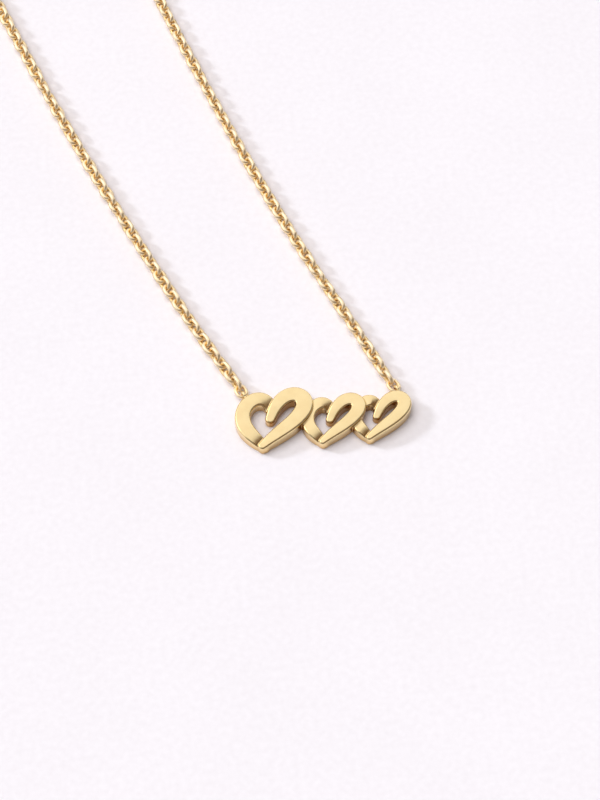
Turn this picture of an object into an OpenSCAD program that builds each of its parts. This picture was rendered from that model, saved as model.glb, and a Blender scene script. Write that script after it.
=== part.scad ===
// Necklace lying flat: a cast bar of three linked brush-stroke hearts on a fine cable chain.
// The origin is on the back of the bar, where the first two hearts overlap.
// X runs along the bar, Y from the bar towards the clasp, Z up from the surface it lies on.

/* [Bar] */
// Thickness of the brush strokes that lie on top
over_h = 1.75; // [1.5:0.05:2]
// Thickness of the brush strokes that pass under them
under_h = 1.5; // [1.3:0.05:1.7]
// Size of the first heart against the drawn one
heart_1 = 0.88; // [0.84:0.01:0.94]
// Size of the second heart
heart_2 = 0.72; // [0.69:0.01:0.76]
// Size of the third heart
heart_3 = 0.69; // [0.67:0.01:0.73]
// Weight of the brush strokes
stroke = 1; // [0.9:0.01:1.02]

/* [Eyes] */
// Radius of the soldered eyes, to the middle of their wire
eye_r = 0.56; // [0.54:0.01:0.6]
// Wire of the soldered eyes
eye_wire = 0.38; // [0.3:0.02:0.4]

/* [Chain] */
// Thickness of the tube that stands for the links, between the chain's narrow and its wide places
chain_d = 1.28; // [1:0.02:1.4]
// Wire of an end link
link_wire = 0.42; // [0.34:0.01:0.44]
// Length of an end link, outside
link_long = 2.08; // [2:0.02:2.3]
// Width of an end link, outside
link_wide = 1.62; // [1.5:0.02:1.7]

/* [Clasp] */
// Radius of the hook's loop, to the middle of its wire
loop_r = 1.7; // [1.6:0.05:2]
// Wire of the hook's loop
loop_wire = 0.8; // [0.7:0.05:0.85]
// Thickness of the clasp's body
clasp_h = 2.2; // [2:0.05:2.4]
// Radius of the end ring, to the middle of its wire
ring_r = 1.3; // [1.25:0.05:1.5]
// Wire of the end ring
ring_wire = 0.4; // [0.3:0.02:0.42]

/* [Hidden] */
$fn = 48;
gold = [0.85, 0.66, 0.34];
// Steps in each span of a smooth line
stroke_steps = 5;
route_steps = 3;
// Corners on the round end of a brush stroke
cap_steps = 9;
// Clear height under each ring that stands on its edge
ring_lift = 0.02;

// Brush strokes of a heart whose cleft is at 0, 0. Columns: x, y, width
left_lobe = [
    [-0.2,  0.5, 1.2],
    [-0.3,  2.0, 1.5],
    [-1.1,  3.1, 1.7],
    [-2.6,  3.4, 1.8],
    [-4.0,  2.4, 1.8],
    [-4.5,  0.6, 1.8],
    [-4.0, -1.1, 1.8],
    [-2.9, -2.5, 1.7],
    [-1.7, -3.6, 1.4],
    [-1.0, -4.1, 1.1]
];
right_lobe = [
    [-0.4,  0.1, 1.2],
    [ 0.2,  1.8, 1.5],
    [ 1.3,  3.2, 1.8],
    [ 2.9,  3.7, 1.9],
    [ 4.3,  2.8, 2.0],
    [ 4.5,  1.1, 2.0],
    [ 3.3, -0.6, 1.9],
    [ 1.5, -2.1, 1.7],
    [-0.2, -3.3, 1.4],
    [-1.3, -4.2, 1.0]
];
// The hearts in a row. Columns: cleft x, cleft y, size, stroke weight, lean
hearts = [
    [-4.4,  -0.33, heart_1, 1.1 * stroke,  0.12],
    [ 2.92, -1.0,  heart_2, 0.95 * stroke, 0.18],
    [ 8.72, -1.02, heart_3, 0.91 * stroke, 0.2]
];

// Soldered eyes: how far along its stroke's rows each one sits, how far its hole's middle stands off
// the wall, and the chain's heading there in degrees from +X
eye_row_left = 3.5;
eye_row_right = 3;
eye_out = 0.4;
heading_left = 113;
heading_right = 117;
eye_z = eye_r + eye_wire / 2 + ring_lift;

// The clasp: x, y of its loop's middle, its heading in degrees from +X, and places along it from
// that middle
clasp_at = [-73.5, 192.5];
heading_clasp = 22;
hook_z = clasp_h / 2;
body_x = -2.95;
body_r = 1.45;
neck_x = -5.3;
neck_r = 0.85;
hook_eye_out = 0.35;
hook_eye_x = neck_x - neck_r - hook_eye_out;
hook_eye_z = 0.88;
hook_eye_r = eye_r + 0.08;
ring_x = loop_r + 0.2;
ring_z = ring_r + ring_wire / 2 + ring_lift;
ring_link_x = loop_r + 0.73;
ring_link_z = 1.05;

// End links: half their length between wire middles, and the clear gap kept to the chain
link_half = (link_long - link_wire) / 2;
link_side = (link_wide - link_wire) / 2;
link_gap = 0.18;
link_low = 0.6;

// The way that each side of the chain takes from the bar round to the clasp. Columns: x, y
route_left = [
    [-13.0,  13.2],
    [-18.2,  24.0],
    [-23.3,  35.0],
    [-28.3,  46.3],
    [-32.9,  57.7],
    [-37.3,  69.0],
    [-42.5,  82.5],
    [-49.0,  97.5],
    [-57.0, 113.0],
    [-66.5, 130.0],
    [-75.5, 147.5],
    [-83.0, 164.5],
    [-87.0, 177.0],
    [-87.0, 185.0],
    [-84.2, 188.2]
];
route_right = [
    [  7.2,  11.8],
    [  2.1,  22.6],
    [ -3.0,  34.6],
    [ -7.8,  47.4],
    [-12.3,  60.0],
    [-16.4,  72.0],
    [-20.8,  87.0],
    [-24.7, 103.0],
    [-28.2, 120.0],
    [-32.8, 138.0],
    [-39.3, 156.0],
    [-47.5, 173.5],
    [-55.0, 186.5],
    [-61.5, 194.0],
    [-66.4, 195.4]
];

function dir(a) = [cos(a), sin(a)];
function xy(p) = [p[0], p[1]];
function last(v) = v[len(v) - 1];

// One point of a smooth line that is drawn towards four rows in turn
function blend(a, b, c, d, t) =
    ((1 - t) ^ 3 * a + (3 * t ^ 3 - 6 * t ^ 2 + 4) * b
     + (-3 * t ^ 3 + 3 * t ^ 2 + 3 * t + 1) * c + t ^ 3 * d) / 6;

// A smooth line that starts on the first row, ends on the last and is drawn towards the others
function smooth(rows, steps) =
    let (n = len(rows), p = concat([2 * rows[0] - rows[1]], rows, [2 * rows[n - 1] - rows[n - 2]]))
    concat([for (i = [0 : n - 2], k = [0 : steps - 1])
                blend(p[i], p[i + 1], p[i + 2], p[i + 3], k / steps)],
           [last(rows)]);

// Heading of a line at its point i
function heading(line, i) =
    let (a = line[max(i - 1, 0)], b = line[min(i + 1, len(line) - 1)])
    atan2(b[1] - a[1], b[0] - a[0]);

// Outline of a brush stroke with round ends, from rows of x, y and width
function brush(rows) =
    let (c = smooth(rows, stroke_steps), n = len(c) - 1, h0 = heading(c, 0), h1 = heading(c, n))
    concat([for (i = [0 : n]) xy(c[i]) + c[i][2] / 2 * dir(heading(c, i) + 90)],
           [for (k = [1 : cap_steps - 1]) xy(c[n]) + c[n][2] / 2 * dir(h1 + 90 - 180 * k / cap_steps)],
           [for (i = [n : -1 : 0]) xy(c[i]) + c[i][2] / 2 * dir(heading(c, i) - 90)],
           [for (k = [1 : cap_steps - 1]) xy(c[0]) + c[0][2] / 2 * dir(h0 - 90 - 180 * k / cap_steps)]);

// A heart's stroke, sized, leaned and put in its place in the row
function placed(rows, heart) =
    [for (r = rows)
        [heart[0] + heart[2] * (r[0] + heart[4] * r[1]), heart[1] + heart[2] * r[1], heart[3] * r[2]]];

// The middle of an eye that stands off a stroke's wall, on the side turned by a from the stroke's heading
function eye_on(rows, row, a) =
    let (c = smooth(rows, 10), i = round(row * 10))
    xy(c[i]) + (c[i][2] / 2 + eye_out) * dir(heading(c, i) + a);

eye_left = eye_on(placed(left_lobe, hearts[0]), eye_row_left, -90);
eye_right = eye_on(placed(right_lobe, hearts[2]), eye_row_right, 90);

// A ring of wire that lies flat
module wire_ring(r, wire) {
    rotate_extrude() translate([r, 0]) circle(d = wire, $fn = 24);
}

// A ring of wire that stands on its edge, along heading a
module standing_ring(at, z, a, r, wire) {
    translate([at[0], at[1], z]) rotate([0, 0, a]) rotate([90, 0, 0]) wire_ring(r, wire);
}

// A link that lies along X, with its near end's wire at the origin
module link() {
    straight = 2 * (link_half - link_side);
    translate([link_half, 0, 0]) {
        for (s = [-1, 1]) {
            translate([s * straight / 2, 0, 0]) rotate([0, 0, -90 * s])
                rotate_extrude(angle = 180) translate([link_side, 0]) circle(d = link_wire, $fn = 24);
            translate([-straight / 2, s * link_side, 0]) rotate([0, 90, 0])
                cylinder(d = link_wire, h = straight, $fn = 24);
        }
    }
}

// A link held at one end at height z, sloping down along heading a to the chain's height
module end_link(at, z, a) {
    slope = asin((z - link_low) / (2 * link_half));
    translate([at[0], at[1], z]) rotate([0, slope, a]) link();
}

// Where the chain starts after an end link
function chain_start(at, z, a) =
    let (slope = asin((z - link_low) / (2 * link_half)))
    at + (2 * link_half * cos(slope) + link_wire / 2 + link_gap) * dir(a);

// The tube that stands for the chain, eight-sided with a flat side down, swept along its smooth line
module chain(rows) {
    c = smooth(rows, route_steps);
    n = len(c);
    r = chain_d / 2 / cos(22.5);
    ring = [for (k = [0 : 7]) r * dir(22.5 + 45 * k)];
    points = [for (i = [0 : n - 1], q = ring)
        let (side = dir(heading(c, i) - 90))
        [c[i][0] + q[0] * side[0], c[i][1] + q[0] * side[1], chain_d / 2 + q[1]]];
    sides = [for (i = [0 : n - 2], k = [0 : 7])
        let (m = (k + 1) % 8) [i * 8 + k, i * 8 + m, i * 8 + 8 + m, i * 8 + 8 + k]];
    polyhedron(points, concat([[for (k = [7 : -1 : 0]) k]], sides, [[for (k = [0 : 7]) (n - 1) * 8 + k]]));
}

// Places along the clasp, from its own X
function on_clasp(x) = clasp_at + x * dir(heading_clasp);

module pendant() {
    color(gold) {
        linear_extrude(under_h) for (h = hearts) polygon(brush(placed(left_lobe, h)));
        linear_extrude(over_h) for (h = hearts) polygon(brush(placed(right_lobe, h)));
        standing_ring(eye_left, eye_z, heading_left, eye_r, eye_wire);
        standing_ring(eye_right, eye_z, heading_right, eye_r, eye_wire);
    }
}

module end_link_left() {
    color(gold) end_link(eye_left, eye_z, heading_left);
}

module end_link_right() {
    color(gold) end_link(eye_right, eye_z, heading_right);
}

module end_link_hook() {
    color(gold) end_link(on_clasp(hook_eye_x), hook_eye_z, heading_clasp + 180);
}

module end_link_ring() {
    color(gold) end_link(on_clasp(ring_link_x), ring_link_z, heading_clasp);
}

module chain_left() {
    first = chain_start(eye_left, eye_z, heading_left);
    end = chain_start(on_clasp(hook_eye_x), hook_eye_z, heading_clasp + 180);
    color(gold) chain(concat([first], route_left, [end]));
}

module chain_right() {
    first = chain_start(eye_right, eye_z, heading_right);
    end = chain_start(on_clasp(ring_link_x), ring_link_z, heading_clasp);
    color(gold) chain(concat([first], route_right, [end]));
}

module clasp() {
    color(gold) translate([clasp_at[0], clasp_at[1], 0]) rotate([0, 0, heading_clasp]) {
        translate([0, 0, hook_z]) wire_ring(loop_r, loop_wire);
        linear_extrude(clasp_h) hull() {
            translate([body_x, 0]) circle(r = body_r);
            translate([neck_x, 0]) circle(r = neck_r);
        }
        standing_ring([hook_eye_x, 0], hook_eye_z, 0, hook_eye_r, ring_wire);
    }
}

module end_ring() {
    color(gold) standing_ring(on_clasp(ring_x), ring_z, heading_clasp, ring_r, ring_wire);
}

pendant();
end_link_left();
end_link_right();
chain_left();
chain_right();
end_link_hook();
clasp();
end_ring();
end_link_ring();
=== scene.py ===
"""Necklace lying flat: a cast bar of three linked brush-stroke hearts on a fine cable chain.

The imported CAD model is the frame. Everything is in metres in its axes: X along the bar,
Y from the bar towards the clasp, Z up from the surface that the necklace lies on.
Sizes below are in millimetres, as on a bench drawing, and MM turns them into metres.
"""

import math

import bpy
import numpy as np
from mathutils import Matrix, Vector


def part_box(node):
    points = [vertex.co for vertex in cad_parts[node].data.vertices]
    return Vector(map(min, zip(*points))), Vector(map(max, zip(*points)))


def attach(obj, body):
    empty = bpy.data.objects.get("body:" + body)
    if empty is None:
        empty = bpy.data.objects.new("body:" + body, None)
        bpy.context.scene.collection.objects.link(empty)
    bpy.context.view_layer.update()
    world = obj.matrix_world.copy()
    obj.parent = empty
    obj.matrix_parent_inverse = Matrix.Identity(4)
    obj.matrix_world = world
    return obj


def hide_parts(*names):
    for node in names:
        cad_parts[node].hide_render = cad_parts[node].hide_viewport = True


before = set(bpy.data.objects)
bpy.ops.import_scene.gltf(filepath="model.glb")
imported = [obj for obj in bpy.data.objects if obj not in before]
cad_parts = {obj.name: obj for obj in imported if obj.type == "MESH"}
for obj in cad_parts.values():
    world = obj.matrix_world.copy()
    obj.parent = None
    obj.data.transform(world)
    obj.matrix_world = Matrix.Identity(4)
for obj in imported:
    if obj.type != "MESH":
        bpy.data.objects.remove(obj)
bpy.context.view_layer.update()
MM = 0.001

# Bar: the rounding of its strokes' edges, and how far their tops fall away towards them
TOP_ROUND = 0.24
FOOT_ROUND = 0.08
CROWN = 0.07
CROWN_REACH = 0.4
# How softly strokes meet, how far the lower ones dip where others cross them, and the mesh's cells
VALLEY = 0.12
BLEND = 0.12
DIP = 0.22
DIP_REACH = 0.6
BAR_CELL = 0.075
# The finish: upward parts of the normals on level and on sloping metal, and how far the painted
# shade in hollows looks for metal in front
LEVEL_UP = 0.97
SLOPE_UP = 0.8
RECESS_REACH = 1.2

# Wires and links. Rings that stand on their edges keep RING_LIFT clear of the floor
RING_LIFT = 0.02
EYE_R = 0.56
EYE_WIRE = 0.38
EYE_OUT = 0.4
EYE_Z = EYE_R + EYE_WIRE / 2 + RING_LIFT
SOLDER = 0.14
LINK_WIRE = 0.42
LINK_LONG = 2.08
LINK_WIDE = 1.62
LINK_LOW = 0.74
CHAIN_WIRE = 0.56
CHAIN_LONG = 2.35
CHAIN_WIDE = 1.76
CHAIN_PITCH = 1.25
FLAT_LIFT = 0.75
LINK_STEPS = 16
WIRE_STEPS = 6
TWIST = math.radians(80)
LEAN = math.radians(19)
SWAY = math.radians(13)
LINK_GAP = 0.18
LINK_HALF = (LINK_LONG - LINK_WIRE) / 2
LINK_SIDE = (LINK_WIDE - LINK_WIRE) / 2
END_HALF = (LINK_LONG - LINK_WIDE) / 2

# Clasp: its loop's middle and heading, and places along it from that middle
CLASP_AT = (-73.5, 192.5)
CLASP_HEADING = math.radians(22)
CLASP_H = 2.2
LOOP_R = 1.7
LOOP_WIRE = 0.8
BODY_X = -2.95
BODY_R = 1.45
NECK_X = -5.3
NECK_R = 0.85
HOOK_EYE_OUT = 0.35
HOOK_EYE_X = NECK_X - NECK_R - HOOK_EYE_OUT
HOOK_EYE_Z = 0.88
HOOK_EYE_R = EYE_R + 0.08
RING_R = 1.3
RING_WIRE = 0.4
RING_X = LOOP_R + 0.2
RING_Z = RING_R + RING_WIRE / 2 + RING_LIFT
RING_LINK_X = LOOP_R + 0.73
RING_LINK_Z = 1.05
BODY_ROUND = 0.8
CLASP_CELL = 0.09

# Brush strokes of a heart whose cleft is at 0, 0. Columns: x, y, width, height of its top
LEFT_LOBE = [
    (-0.2, 0.5, 1.2, 1.1),
    (-0.3, 2.0, 1.5, 1.25),
    (-1.1, 3.1, 1.7, 1.45),
    (-2.6, 3.4, 1.8, 1.58),
    (-4.0, 2.4, 1.8, 1.58),
    (-4.5, 0.6, 1.8, 1.5),
    (-4.0, -1.1, 1.8, 1.52),
    (-2.9, -2.5, 1.7, 1.5),
    (-1.7, -3.6, 1.4, 1.35),
    (-1.0, -4.1, 1.1, 1.1),
]
RIGHT_LOBE = [
    (-0.4, 0.1, 1.2, 1.15),
    (0.2, 1.8, 1.5, 1.55),
    (1.3, 3.2, 1.8, 1.72),
    (2.9, 3.7, 1.9, 1.7),
    (4.3, 2.8, 2.0, 1.72),
    (4.5, 1.1, 2.0, 1.75),
    (3.3, -0.6, 1.9, 1.75),
    (1.5, -2.1, 1.7, 1.74),
    (-0.2, -3.3, 1.4, 1.62),
    (-1.3, -4.2, 1.0, 1.3),
]
# The hearts in a row. Columns: cleft x, cleft y, size, stroke weight, lean
HEARTS = [
    (-4.4, -0.33, 0.88, 1.1, 0.12),
    (2.92, -1.0, 0.72, 0.95, 0.18),
    (8.72, -1.02, 0.69, 0.91, 0.2),
]
# How far along its stroke's rows each eye sits, and the chain's heading there
EYE_ROW_LEFT = 3.5
EYE_ROW_RIGHT = 3.0
HEADING_LEFT = math.radians(113)
HEADING_RIGHT = math.radians(117)

# The way that each side of the chain takes from the bar round to the clasp. Columns: x, y
ROUTE_LEFT = [
    (-13.0, 13.2),
    (-18.2, 24.0),
    (-23.3, 35.0),
    (-28.3, 46.3),
    (-32.9, 57.7),
    (-37.3, 69.0),
    (-42.5, 82.5),
    (-49.0, 97.5),
    (-57.0, 113.0),
    (-66.5, 130.0),
    (-75.5, 147.5),
    (-83.0, 164.5),
    (-87.0, 177.0),
    (-87.0, 185.0),
    (-84.2, 188.2),
]
ROUTE_RIGHT = [
    (7.2, 11.8),
    (2.1, 22.6),
    (-3.0, 34.6),
    (-7.8, 47.4),
    (-12.3, 60.0),
    (-16.4, 72.0),
    (-20.8, 87.0),
    (-24.7, 103.0),
    (-28.2, 120.0),
    (-32.8, 138.0),
    (-39.3, 156.0),
    (-47.5, 173.5),
    (-55.0, 186.5),
    (-61.5, 194.0),
    (-66.4, 195.4),
]


def smooth(rows, steps):
    """A smooth line from the first row to the last that is drawn towards those between."""
    rows = np.array(rows, float)
    rows = np.vstack([2 * rows[0] - rows[1], rows, 2 * rows[-1] - rows[-2]])
    t = (np.arange(steps) / steps)[:, None]
    weights = [
        (1 - t) ** 3,
        3 * t**3 - 6 * t**2 + 4,
        -3 * t**3 + 3 * t**2 + 3 * t + 1,
        t**3,
    ]
    spans = [
        sum(w * rows[i + n] for n, w in enumerate(weights)) / 6
        for i in range(len(rows) - 3)
    ]
    return np.vstack(spans + [rows[-2:-1]])


def unit(angle):
    return np.array([math.cos(angle), math.sin(angle)])


def placed(rows, heart):
    """A heart's stroke, sized, leaned and put in its place in the row."""
    x, y, size, weight, lean = heart
    return [
        (x + size * (a + lean * b), y + size * b, weight * wide, top) for a, b, wide, top in rows
    ]


def eye_on(rows, row, side):
    """The middle of an eye that stands off a stroke's wall, on one side of the stroke's heading."""
    line = smooth(rows, 10)
    i = round(row * 10)
    ahead = line[i + 1] - line[i - 1]
    heading = math.atan2(ahead[1], ahead[0])
    return line[i][:2] + (line[i][2] / 2 + EYE_OUT) * unit(heading + side)


def on_clasp(x):
    return np.array(CLASP_AT) + x * unit(CLASP_HEADING)


eye_left = eye_on(placed(LEFT_LOBE, HEARTS[0]), EYE_ROW_LEFT, -math.pi / 2)
eye_right = eye_on(placed(RIGHT_LOBE, HEARTS[2]), EYE_ROW_RIGHT, math.pi / 2)


class Number:
    """A number socket that Python expressions can use. Each operation adds a Math node."""

    def __init__(self, flow, socket):
        self.flow = flow
        self.socket = socket

    def math(self, operation, *others, first=None):
        values = [self if first is None else first, *others]
        return self.flow.number("ShaderNodeMath", {"operation": operation}, dict(enumerate(values)))

    def __add__(self, other):
        return self.math("ADD", other)

    def __sub__(self, other):
        return self.math("SUBTRACT", other)

    def __rsub__(self, other):
        return self.math("SUBTRACT", self, first=other)

    def __mul__(self, other):
        return self.math("MULTIPLY", other)

    def __truediv__(self, other):
        return self.math("DIVIDE", other)

    __radd__ = __add__
    __rmul__ = __mul__

    def __mod__(self, other):
        return self.math("MODULO", other)

    def least(self, other):
        return self.math("MINIMUM", other)

    def clamped(self):
        return self.math("MAXIMUM", 0.0).math("MINIMUM", 1.0)

    def step(self, start, end):
        """0 before start, 1 after end, and a soft change between them."""
        t = ((self - start) / (end - start)).clamped()
        return t * t * (3.0 - 2.0 * t)


class Flow:
    """A node tree that is built up by calls."""

    def __init__(self, tree):
        self.tree = tree

    def add(self, kind, settings=None, sockets=None):
        """A node of that type. Settings are set first, then the values or links of its sockets."""
        node = self.tree.nodes.new(kind)
        for name, value in (settings or {}).items():
            setattr(node, name, value)
        for name, value in (sockets or {}).items():
            value = value.socket if isinstance(value, Number) else value
            if isinstance(value, bpy.types.NodeSocket):
                self.tree.links.new(value, node.inputs[name])
            else:
                node.inputs[name].default_value = value
        return node

    def number(self, kind, settings=None, sockets=None, out=0):
        return Number(self, self.add(kind, settings, sockets).outputs[out])

    def mix_colour(self, factor, first, second):
        """A colour between two others."""
        settings = {"data_type": "RGBA"}
        sockets = {0: factor, 6: first, 7: second}
        return self.add("ShaderNodeMix", settings, sockets).outputs[2]


def add_mesh(name, points, faces):
    """A smooth mesh object with its place in its mesh. Points are in millimetres."""
    mesh = bpy.data.meshes.new(name)
    mesh.from_pydata((np.asarray(points) * MM).tolist(), [], np.asarray(faces).tolist())
    mesh.shade_smooth()
    mesh.validate()
    piece = bpy.data.objects.new(name, mesh)
    bpy.context.scene.collection.objects.link(piece)
    return piece


def settle(distance, points, rounds=2, reach=0.01):
    """Moves points onto the surface where distance is zero, and gives its normals there too."""
    for _ in range(rounds):
        here = distance(*points.T)
        slope = np.stack(
            [(distance(*(points + step).T) - here) / reach for step in np.eye(3) * reach], axis=1
        )
        length = np.maximum(np.linalg.norm(slope, axis=1, keepdims=True), 0.3)
        points = points - here[:, None] * slope / length**2
    return points, slope / length


def evened(points, faces):
    """Each point at the middle of its neighbours, so that the faces have even sizes."""
    total, count = np.zeros_like(points), np.zeros((len(points), 1))
    for corner in range(4):
        here = faces[:, corner]
        for neighbour in (faces[:, corner - 1], faces[:, corner - 3]):
            np.add.at(total, here, points[neighbour])
            np.add.at(count, here, 1)
    return total / count


def skin(distance, low, high, cell):
    """Points, four-sided faces and normals of the surface where distance(x, y, z) is zero."""
    x, y, z = (np.arange(a - 2 * cell, b + 3 * cell, cell) for a, b in zip(low, high))
    inside = distance(x[:, None, None], y[None, :, None], z[None, None, :]) < 0
    n = np.array(inside.shape) - 1
    corners = [(i, j, k) for i in (0, 1) for j in (0, 1) for k in (0, 1)]
    filled = sum(
        inside[i : n[0] + i, j : n[1] + j, k : n[2] + k].astype(int) for i, j, k in corners
    )
    crossed = (filled > 0) & (filled < 8)
    number = np.full(crossed.shape, -1)
    number[crossed] = np.arange(crossed.sum())
    i, j, k = np.nonzero(crossed)
    points = np.stack([x[i], y[j], z[k]], axis=1) + cell / 2
    faces = []
    for turn in range(3):
        order = [turn, (turn + 1) % 3, (turn + 2) % 3]
        side = inside.transpose(order)
        cells = number.transpose(order)
        ring = [cells[:, :-1, :-1], cells[:, 1:, :-1], cells[:, 1:, 1:], cells[:, :-1, 1:]]
        near = side[:-1, 1:-1, 1:-1]
        far = side[1:, 1:-1, 1:-1]
        faces.append(np.stack([c[near & ~far] for c in ring], axis=1))
        faces.append(np.stack([c[far & ~near] for c in ring[::-1]], axis=1))
    faces = np.vstack(faces)
    points, normals = settle(distance, points)
    points, normals = settle(distance, evened(points, faces))
    return points, faces, normals


def joined(a, b, soft):
    """Distance to two forms joined with a soft valley between them."""
    near = np.maximum(soft - np.abs(a - b), 0) / soft
    return np.minimum(a, b) - near * near * soft / 4


def stroke_distance(line, x, y):
    """Distance on the flat to a brush stroke, below zero inside it, and its height there."""
    best, total, weights = 1e9, 0.0, 0.0
    for a, b in zip(line[:-1], line[1:]):
        ab = b - a
        t = np.clip(((x - a[0]) * ab[0] + (y - a[1]) * ab[1]) / (ab[0] ** 2 + ab[1] ** 2), 0, 1)
        away = np.hypot(x - a[0] - t * ab[0], y - a[1] - t * ab[1]) - (a[2] + t * ab[2]) / 2
        weight = np.exp(-np.minimum(away, 2) / BLEND)
        total = total + weight * (a[3] + t * ab[3])
        weights = weights + weight
        best = np.minimum(away, best)
    return best, total / weights


def slab_distance(across, thick, z, top_round, foot_round):
    """Distance to a flat form that stands on the floor, from the distance to its outline."""
    middle = thick / 2
    radius = np.where(z > middle, top_round, foot_round)
    side = across + radius
    up = np.abs(z - middle) - middle + radius
    outside = np.hypot(np.maximum(side, 0), np.maximum(up, 0))
    return outside + np.minimum(np.maximum(side, up), 0) - radius


def ring_distance(x, y, z, at, height, heading, radius, wire):
    """Distance to a ring of wire that stands on its edge."""
    ahead = (x - at[0]) * math.cos(heading) + (y - at[1]) * math.sin(heading)
    aside = (x - at[0]) * math.sin(heading) - (y - at[1]) * math.cos(heading)
    return np.hypot(np.hypot(ahead, z - height) - radius, aside) - wire / 2


under_strokes = [smooth(placed(LEFT_LOBE, heart), 7) for heart in HEARTS]
over_strokes = [smooth(placed(RIGHT_LOBE, heart), 7) for heart in HEARTS]


def bar_distance(x, y, z):
    """Distance to the cast bar: its brush strokes and the two soldered eyes."""
    over = [stroke_distance(line, x, y) for line in over_strokes]
    near = np.minimum.reduce([across for across, top in over])
    dip = DIP * np.exp(-np.maximum(near, 0) / DIP_REACH)
    under = [stroke_distance(line, x, y) for line in under_strokes]
    under = [(across, top - dip) for across, top in under]
    shape = None
    for across, top in under + over:
        crown = CROWN * np.exp(np.minimum(across, 0) / CROWN_REACH)
        stroke = slab_distance(across, top, z + crown * (z > top / 2), TOP_ROUND, FOOT_ROUND)
        shape = stroke if shape is None else joined(shape, stroke, VALLEY)
    for at, heading in ((eye_left, HEADING_LEFT), (eye_right, HEADING_RIGHT)):
        eye = ring_distance(x, y, z, at, EYE_Z, heading, EYE_R, EYE_WIRE)
        shape = joined(shape, eye, SOLDER)
    return shape


def clasp_distance(x, y, z):
    """Distance to the hook clasp, in its own axes: X along it, the loop's middle at 0, 0."""
    loop = np.hypot(np.hypot(x, y) - LOOP_R, z - CLASP_H / 2) - LOOP_WIRE / 2
    line = np.array([(BODY_X, 0, 2 * BODY_R, CLASP_H), (NECK_X, 0, 2 * NECK_R, CLASP_H)])
    body = slab_distance(*stroke_distance(line, x, y), z, BODY_ROUND, BODY_ROUND)
    eye = ring_distance(x, y, z, (HOOK_EYE_X, 0), HOOK_EYE_Z, 0, HOOK_EYE_R, RING_WIRE)
    return joined(joined(loop, body, 0.5), eye, 0.25)


def add_share(piece, name, values):
    """Keeps a share from 0 to 1 at each point of a mesh, for the finish's roughness or its painted
    shade.
    """
    share = piece.data.attributes.new(name, "FLOAT", "POINT")
    share.data.foreach_set("value", np.clip(values, 0, 1).astype(np.float32))


def levelness(normals):
    """1 where the surface is almost level and faces up, 0 where it slopes steeply."""
    return (normals[:, 2] - SLOPE_UP) / (LEVEL_UP - SLOPE_UP)


def enclosure(distance, points, normals):
    """0 where no other metal is near in front of the surface, towards 1 in the tight recesses."""
    return 1 - distance(*(points + RECESS_REACH * normals).T) / RECESS_REACH


bar_low, bar_high = (np.array(c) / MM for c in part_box("pendant"))
points, faces, normals = skin(bar_distance, bar_low, bar_high, BAR_CELL)
heart_bar = add_mesh("heart_bar", points, faces)
add_share(heart_bar, "level", levelness(normals))
# Painted shade: the bar's colour darkens where other metal stands near in front of it, in hollows
add_share(heart_bar, "painted_shade", enclosure(bar_distance, points, normals))

low = (NECK_X - NECK_R - 1.5, -LOOP_R - LOOP_WIRE, 0)
high = (LOOP_R + LOOP_WIRE, LOOP_R + LOOP_WIRE, CLASP_H)
points, faces, normals = skin(clasp_distance, low, high, CLASP_CELL)
turn = np.array(Matrix.Rotation(CLASP_HEADING, 3, "Z"))
hook_clasp = add_mesh("hook_clasp", points @ turn.T + (*CLASP_AT, 0), faces)
add_share(hook_clasp, "level", levelness(normals))


def wire_loop(name, half, side, wire, place, around=32, section=12):
    """A closed loop of wire, drawn out by half along its own X and bent to radius side at its ends.

    place is the matrix that puts it where it belongs, in millimetres."""
    a = np.arange(around) * 2 * math.pi / around
    bend = np.stack([np.cos(a), np.sin(a)], axis=1)
    shift = np.clip(bend[:, 0] / math.sin(2 * math.pi / around), -1, 1) * half
    points = []
    for c in np.arange(section) * 2 * math.pi / section:
        r = side + wire / 2 * math.cos(c)
        up = np.full(around, wire / 2 * math.sin(c))
        ring = [bend[:, 0] * r + shift, bend[:, 1] * r, up, np.ones(around)]
        points.append(np.stack(ring, axis=1))
    points = np.stack(points, axis=1).reshape(-1, 4) @ np.array(place).T
    i, k = np.meshgrid(np.arange(around), np.arange(section), indexing="ij")
    i2, k2 = (i + 1) % around, (k + 1) % section
    corners = [i * section + k, i2 * section + k, i2 * section + k2, i * section + k2]
    loop = add_mesh(name, points[:, :3], np.stack(corners, axis=-1).reshape(-1, 4))
    # Painted shade: the wire's side towards the loop's opening is given a darker colour
    painted_shade = 0.5 - 0.5 * np.cos(np.arange(section) * 2 * math.pi / section)
    add_share(loop, "painted_shade", np.tile(painted_shade, around))
    return loop


def end_link(name, at, height, heading):
    """A link held in an eye at its near end, sloping down to the chain's height."""
    slope = math.asin((height - LINK_LOW) / (2 * LINK_HALF))
    turned = Matrix.Rotation(heading, 4, "Z") @ Matrix.Rotation(slope, 4, "Y")
    place = Matrix.Translation((*at, height)) @ turned @ Matrix.Translation((LINK_HALF, 0, 0))
    return wire_loop(name, END_HALF, LINK_SIDE, LINK_WIRE, place)


left_end_link = end_link("left_end_link", eye_left, EYE_Z, HEADING_LEFT)
right_end_link = end_link("right_end_link", eye_right, EYE_Z, HEADING_RIGHT)
hook_end_link = end_link("hook_end_link", on_clasp(HOOK_EYE_X), HOOK_EYE_Z, CLASP_HEADING + math.pi)
ring_end_link = end_link("ring_end_link", on_clasp(RING_LINK_X), RING_LINK_Z, CLASP_HEADING)
standing = Matrix.Rotation(CLASP_HEADING, 4, "Z") @ Matrix.Rotation(math.pi / 2, 4, "X")
ring_place = Matrix.Translation((*on_clasp(RING_X), RING_Z)) @ standing
clasp_ring = wire_loop("clasp_ring", 0, RING_R, RING_WIRE, ring_place, around=48)


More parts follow.
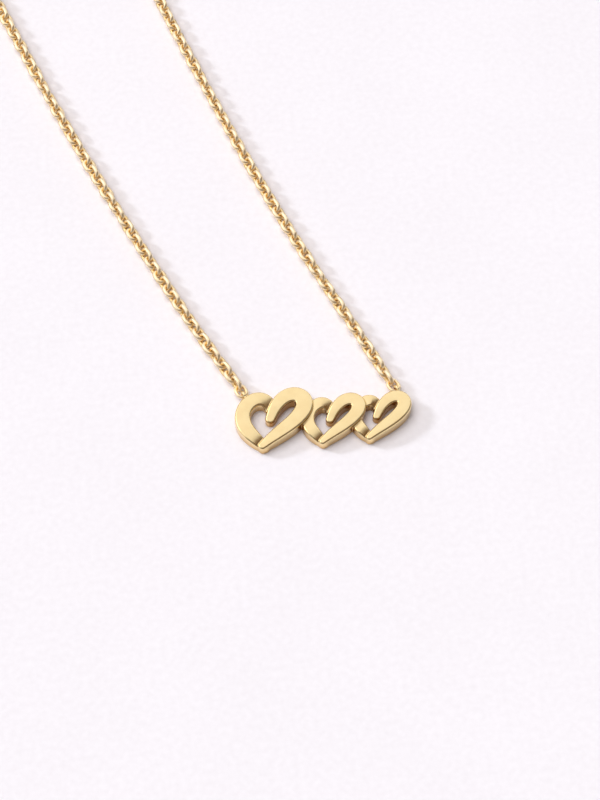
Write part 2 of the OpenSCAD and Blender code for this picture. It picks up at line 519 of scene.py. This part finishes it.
def links_on_path():
    """A tree that threads links through each other along a path, with alternate ones turned."""
    tree = bpy.data.node_groups.new("links_on_path", "GeometryNodeTree")
    flow = Flow(tree)
    inputs = {
        "Path": "Geometry",
        "Links": "Int",
        "Link Length": "Float",
        "Link Width": "Float",
        "Wire": "Float",
        "Twist": "Float",
        "Lean": "Float",
        "Settling Links": "Float",
        "Sway": "Float",
        "Seed": "Int",
        "Finish": "Material",
    }
    for name, kind in inputs.items():
        tree.interface.new_socket(name=name, in_out="INPUT", socket_type="NodeSocket" + kind)
    tree.interface.new_socket(name="Chain", in_out="OUTPUT", socket_type="NodeSocketGeometry")
    given = flow.add("NodeGroupInput").outputs
    size = {name: Number(flow, given[name]) for name, kind in inputs.items() if kind != "Geometry"}

    wire_r = size["Wire"] / 2
    side = size["Link Width"] / 2 - wire_r
    stretch = (size["Link Length"] - size["Link Width"]) / 2
    circle = flow.add(
        "GeometryNodeCurvePrimitiveCircle", {}, {"Resolution": LINK_STEPS, "Radius": side}
    )
    place = flow.add("GeometryNodeInputPosition").outputs[0]
    x = flow.number("ShaderNodeSeparateXYZ", {}, {0: place})
    # The steps just off the middle of each long side mark where its straight stretch ends
    straight = side * (0.995 * math.sin(2 * math.pi / LINK_STEPS))
    end_share = (x / straight).math("MAXIMUM", -1.0).math("MINIMUM", 1.0)
    shift = flow.add("ShaderNodeCombineXYZ", {}, {"X": end_share * stretch}).outputs[0]
    oval = flow.add("GeometryNodeSetPosition", {}, {"Geometry": circle.outputs[0], "Offset": shift})
    section = flow.add(
        "GeometryNodeCurvePrimitiveCircle", {}, {"Resolution": WIRE_STEPS, "Radius": wire_r}
    )
    link = flow.add(
        "GeometryNodeCurveToMesh",
        {},
        {"Curve": oval.outputs[0], "Profile Curve": section.outputs[0]},
    )
    # How far round towards the link's opening each point of the wire is, 0 outside and 1 on that
    # side, for painted shade
    made = flow.add("GeometryNodeInputPosition").outputs[0]
    along = flow.number("ShaderNodeSeparateXYZ", {}, {0: made}).math("ABSOLUTE")
    across = flow.number("ShaderNodeSeparateXYZ", {}, {0: made}, out=1)
    past = (along - stretch).math("MAXIMUM", 0.0)
    outwards = (past * past + across * across).math("SQRT") - side
    painted_shade = (0.5 - outwards / wire_r * 0.5).clamped()
    marked = flow.add(
        "GeometryNodeStoreNamedAttribute",
        {"data_type": "FLOAT", "domain": "POINT"},
        {"Geometry": link.outputs[0], "Name": "painted_shade", "Value": painted_shade},
    )

    curve = flow.add("GeometryNodeMeshToCurve", {}, {"Mesh": given["Path"]})
    spots = flow.add(
        "GeometryNodeCurveToPoints",
        {"mode": "COUNT"},
        {"Curve": curve.outputs[0], "Count": size["Links"] + 2.0},
    )
    index = flow.number("GeometryNodeInputIndex")
    from_end = (index - 1.0).least(size["Links"] - index)
    settled = from_end.step(0.0, 1.0 * size["Settling Links"])
    sway = flow.number(
        "FunctionNodeRandomValue",
        {"data_type": "FLOAT"},
        {2: -1.0 * size["Sway"], 3: size["Sway"], "Seed": size["Seed"]},
        out=1,
    )
    roll = size["Lean"] * settled - (index % 2.0) * size["Twist"] + sway
    # A steep link rests with its lower side on the floor, and a flatter one on its neighbours
    steep = roll.math("SINE").math("ABSOLUTE")
    flat = roll.math("COSINE").math("ABSOLUTE") * FLAT_LIFT
    reach = steep.math("MAXIMUM", flat)
    lift = flow.add("ShaderNodeCombineXYZ", {}, {"Z": side * reach + wire_r}).outputs[0]
    resting = flow.add(
        "GeometryNodeSetPosition", {}, {"Geometry": spots.outputs["Points"], "Offset": lift}
    )
    facing = flow.add(
        "FunctionNodeAxesToRotation",
        {"primary_axis": "X", "secondary_axis": "Z"},
        {0: spots.outputs["Tangent"], 1: (0, 0, 1)},
    )
    rolled = flow.add("FunctionNodeAxisAngleToRotation", {}, {"Axis": (1, 0, 0), "Angle": roll})
    turned = flow.add(
        "FunctionNodeRotateRotation",
        {"rotation_space": "LOCAL"},
        {"Rotation": facing.outputs[0], "Rotate By": rolled.outputs[0]},
    )
    between_ends = flow.add(
        "FunctionNodeCompare",
        {"data_type": "FLOAT", "operation": "GREATER_EQUAL"},
        {0: from_end, 1: -0.5},
    )
    placed_links = flow.add(
        "GeometryNodeInstanceOnPoints",
        {},
        {
            "Points": resting.outputs[0],
            "Selection": between_ends.outputs[0],
            "Instance": marked.outputs[0],
            "Rotation": turned.outputs[0],
        },
    )
    real = flow.add("GeometryNodeRealizeInstances", {}, {0: placed_links.outputs[0]})
    smooth_links = flow.add("GeometryNodeSetShadeSmooth", {}, {0: real.outputs[0]})
    dressed = flow.add(
        "GeometryNodeSetMaterial",
        {},
        {"Geometry": smooth_links.outputs[0], "Material": given["Finish"]},
    )
    flow.add("NodeGroupOutput", {}, {"Chain": dressed.outputs[0]})
    return tree


def chain_path(start, start_z, start_heading, route, end, end_z, end_heading):
    """A chain's line on the floor from the middle of one end link to that of the other."""

    def at_link(at, height, heading):
        slope = math.asin((height - LINK_LOW) / (2 * LINK_HALF))
        middle = at + LINK_HALF * math.cos(slope) * unit(heading)
        first = at + (2 * LINK_HALF * math.cos(slope) + LINK_WIRE / 2 + LINK_GAP) * unit(heading)
        return middle, first

    middle_a, first = at_link(start, start_z, start_heading)
    middle_b, last = at_link(end, end_z, end_heading)
    line = np.vstack([middle_a, smooth([first, *route, last], 12), middle_b])
    return np.hstack([line, np.zeros((len(line), 1))])


def add_chain(name, path, seed, tree, finish):
    """The links of one side of the chain, as a plain mesh."""
    length = np.linalg.norm(np.diff(path, axis=0), axis=1).sum()
    links = 2 * round(length / CHAIN_PITCH / 2) - 1
    mesh = bpy.data.meshes.new(name + "_path")
    edges = [(i, i + 1) for i in range(len(path) - 1)]
    mesh.from_pydata((path * MM).tolist(), edges, [])
    guide = bpy.data.objects.new(name + "_path", mesh)
    bpy.context.scene.collection.objects.link(guide)
    modifier = guide.modifiers.new("links", "NODES")
    modifier.node_group = tree
    values = {
        "Links": links,
        "Link Length": CHAIN_LONG * MM,
        "Link Width": CHAIN_WIDE * MM,
        "Wire": CHAIN_WIRE * MM,
        "Twist": TWIST,
        "Lean": LEAN,
        "Settling Links": 1.0,
        "Sway": SWAY,
        "Seed": seed,
        "Finish": finish,
    }
    for socket in tree.interface.items_tree:
        if socket.name in values:
            modifier[socket.identifier] = values[socket.name]
    evaluated = guide.evaluated_get(bpy.context.evaluated_depsgraph_get())
    made = bpy.data.meshes.new_from_object(evaluated)
    made.name = name
    chain = bpy.data.objects.new(name, made)
    bpy.context.scene.collection.objects.link(chain)
    bpy.data.objects.remove(guide)
    return chain


def new_material(name):
    material = bpy.data.materials.new(name)
    material.use_nodes = True
    material.node_tree.nodes.clear()
    return material, Flow(material.node_tree)


def gold_finish_and_shade(name, light, painted_low_shade, painted_hollow_shade, polish, satin, grain, metal=1.0):
    """Gold that is satin where its surface is level and polished elsewhere, with fine tool marks.

    Its colour carries painted shade and highlight: darker low down and lighter higher up, with a
    little random tone, and darker still with painted shade in hollows and on the side of a link's
    wire towards its opening."""
    material, flow = new_material(name)
    place = flow.add("ShaderNodeTexCoord").outputs["Object"]
    cloud = flow.number("ShaderNodeTexNoise", {}, {"Vector": place, "Scale": 700.0, "Detail": 3.0})
    fine = flow.number("ShaderNodeTexNoise", {}, {"Vector": place, "Scale": 6000.0, "Detail": 2.0})
    drawn = flow.add(
        "ShaderNodeMapping",
        {},
        {"Vector": place, "Rotation": (0, 0, 0.35), "Scale": (900.0, 9000.0, 9000.0)},
    )
    marks = flow.number(
        "ShaderNodeTexNoise", {}, {"Vector": drawn.outputs[0], "Scale": 1.0, "Detail": 2.0}
    )
    level = flow.number("ShaderNodeAttribute", {"attribute_name": "level"}, out=2)
    height = flow.number("ShaderNodeSeparateXYZ", {}, {0: place}, out=2)
    painted_shade = flow.number("ShaderNodeAttribute", {"attribute_name": "painted_shade"}, out=2)
    # Painted shade and highlight: most of the tone follows height, darker low down and lighter high
    # up, and the rest is random tone
    tone = (height.step(0.0003, 0.0012) * 0.7 + cloud.step(0.3, 0.7) * 0.2 + fine * 0.1).clamped()
    open_colour = flow.mix_colour(tone, painted_low_shade, light)
    # Painted shade: darker in hollows and on the side of a link's wire towards its opening
    colour = flow.mix_colour(painted_shade.step(0.4, 0.9), open_colour, painted_hollow_shade)
    roughness = polish + level * (satin - polish) + (cloud - 0.5) * 0.08 + (fine - 0.5) * 0.06
    relief = level * marks + fine * 0.3
    bump = flow.add(
        "ShaderNodeBump", {}, {"Strength": grain, "Distance": 0.00002, "Height": relief}
    )
    surface = flow.add(
        "ShaderNodeBsdfPrincipled",
        {},
        {
            "Base Color": colour,
            "Metallic": metal,
            "Roughness": roughness.clamped(),
            "Normal": bump.outputs[0],
        },
    )
    flow.add("ShaderNodeOutputMaterial", {}, {"Surface": surface.outputs[0]})
    return material


# In both golds the light colour is a painted highlight on high parts, and the other two are painted
# shade low down and in hollows
bar_gold = gold_finish_and_shade(
    "bar_gold_satin",
    light=(0.945, 0.755, 0.42, 1),
    painted_low_shade=(0.76, 0.51, 0.22, 1),
    painted_hollow_shade=(0.46, 0.25, 0.08, 1),
    polish=0.14,
    satin=0.32,
    grain=0.12,
)
chain_gold = gold_finish_and_shade(
    "chain_gold_soft",
    light=(0.985, 0.82, 0.58, 1),
    painted_low_shade=(0.98, 0.72, 0.33, 1),
    painted_hollow_shade=(0.98, 0.72, 0.33, 1),
    polish=0.3,
    satin=0.32,
    grain=0.08,
    metal=0.88,
)

tree = links_on_path()
hook_eye = on_clasp(HOOK_EYE_X)
ring_link = on_clasp(RING_LINK_X)
path_left = chain_path(
    eye_left, EYE_Z, HEADING_LEFT, ROUTE_LEFT, hook_eye, HOOK_EYE_Z, CLASP_HEADING + math.pi
)
path_right = chain_path(
    eye_right, EYE_Z, HEADING_RIGHT, ROUTE_RIGHT, ring_link, RING_LINK_Z, CLASP_HEADING
)
left_chain = add_chain("left_chain_links", path_left, 3, tree, chain_gold)
right_chain = add_chain("right_chain_links", path_right, 8, tree, chain_gold)

dressed = [
    (heart_bar, "pendant", bar_gold, "bar_gold"),
    (left_end_link, "end_link_left", chain_gold, "chain_gold"),
    (right_end_link, "end_link_right", chain_gold, "chain_gold"),
    (left_chain, "chain_left", chain_gold, "chain_gold"),
    (right_chain, "chain_right", chain_gold, "chain_gold"),
    (hook_end_link, "end_link_hook", chain_gold, "chain_gold"),
    (hook_clasp, "clasp", chain_gold, "chain_gold"),
    (clasp_ring, "end_ring", chain_gold, "chain_gold"),
    (ring_end_link, "end_link_ring", chain_gold, "chain_gold"),
]
for piece, node, finish, slot in dressed:
    if not piece.data.materials:
        piece.data.materials.append(finish)
    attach(piece, "root")
    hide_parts(node)

# Floor
FLOOR_HALF = 6000.0
FLOOR_Z = -0.02
corners = [(-1, -1), (1, -1), (1, 1), (-1, 1)]
floor_points = [(FLOOR_HALF * a, FLOOR_HALF * b, FLOOR_Z) for a, b in corners]
floor = add_mesh("floor", floor_points, [(0, 1, 2, 3)])
paper, flow = new_material("pale_paper")
place = flow.add("ShaderNodeTexCoord").outputs["Object"]
fibre = flow.number("ShaderNodeTexNoise", {}, {"Vector": place, "Scale": 1400.0, "Detail": 3.0})
cloud = flow.number("ShaderNodeTexNoise", {}, {"Vector": place, "Scale": 60.0, "Detail": 2.0})
tone = (fibre * 0.7 + cloud * 0.3).clamped()
colour = flow.mix_colour(tone, (0.865, 0.803, 0.822, 1), (1.0, 0.948, 0.97, 1))
bump = flow.add("ShaderNodeBump", {}, {"Strength": 0.15, "Distance": 0.00004, "Height": fibre})
surface = flow.add(
    "ShaderNodeBsdfPrincipled",
    {},
    {"Base Color": colour, "Roughness": 0.9, "Normal": bump.outputs[0]},
)
flow.add("ShaderNodeOutputMaterial", {}, {"Surface": surface.outputs[0]})
floor.data.materials.append(paper)

# Soft studio light
world = bpy.data.worlds.new("studio")
world.use_nodes = True
background = world.node_tree.nodes["Background"]
background.inputs["Color"].default_value = (1.0, 0.99, 1.0, 1)
background.inputs["Strength"].default_value = 0.3
bpy.context.scene.world = world
bpy.context.scene.view_settings.view_transform = "Standard"


def far_light(name, towards, spread, strength, colour=(1, 1, 1)):
    """A far light from that direction, as wide as spread in degrees, that metal doesn't reflect."""
    light = bpy.data.lights.new(name, "SUN")
    light.angle = math.radians(spread)
    light.energy = strength
    light.color = colour
    lamp = bpy.data.objects.new(name, light)
    lamp.rotation_euler = Vector(towards).to_track_quat("Z", "Y").to_euler()
    lamp.visible_glossy = False
    bpy.context.scene.collection.objects.link(lamp)


# Both fall on the floor and cast its shadows. The metal reflects the cards below instead
far_light("window_light", (-0.35, 0.22, 1.2), 54, 1.89)
far_light("key_light", (-3.2, 1.5, 1.8), 9, 1.42, (0.88, 0.97, 1.08))


def dome_card(name, azimuths, elevations, colour, radius=1.0, across=13, up=7):
    """A glowing card curved round the bar that only metal reflects. Angles are in degrees."""
    azimuth = np.radians(np.linspace(*azimuths, across))
    elevation = np.radians(np.linspace(*elevations, up))
    a, e = np.meshgrid(azimuth, elevation, indexing="ij")
    points = np.stack([np.cos(e) * np.cos(a), np.cos(e) * np.sin(a), np.sin(e)], axis=-1)
    i, k = np.meshgrid(np.arange(across - 1), np.arange(up - 1), indexing="ij")
    corner = i * up + k
    faces = np.stack([corner, corner + up, corner + up + 1, corner + 1], axis=-1)
    card = add_mesh(name, points.reshape(-1, 3) * radius / MM, faces.reshape(-1, 4))
    glow, flow = new_material(name)
    surface = flow.add("ShaderNodeEmission", {}, {"Color": (*colour, 1), "Strength": 1.0})
    flow.add("ShaderNodeOutputMaterial", {}, {"Surface": surface.outputs[0]})
    card.data.materials.append(glow)
    card.visible_camera = False
    card.visible_diffuse = False
    card.visible_shadow = False


dome_card("bright_card", (30, 200), (14, 89), (1.1, 1.09, 1.08))
dome_card("window_card", (135, 172), (24, 52), (2.6, 2.55, 2.5), radius=0.95)
dome_card("dark_card", (-125, 20), (37, 79), (0.17, 0.098, 0.05))
dome_card("overhead_card", (-160, 30), (79, 89.9), (1.1, 1.09, 1.08))

# Camera, at the photograph's viewing angle
camera_at = Vector((-12.84, -140.55, 248.98)) * MM
looks_at = Vector((-0.81, 2.69, 0.0)) * MM
lens = bpy.data.cameras.new("camera")
lens.sensor_width = 36
lens.lens = 103.5
lens.clip_start = 0.01
lens.clip_end = 20
camera = bpy.data.objects.new("camera", lens)
camera.location = camera_at
camera.rotation_euler = (looks_at - camera_at).to_track_quat("-Z", "Y").to_euler()
bpy.context.scene.collection.objects.link(camera)
bpy.context.scene.camera = camera
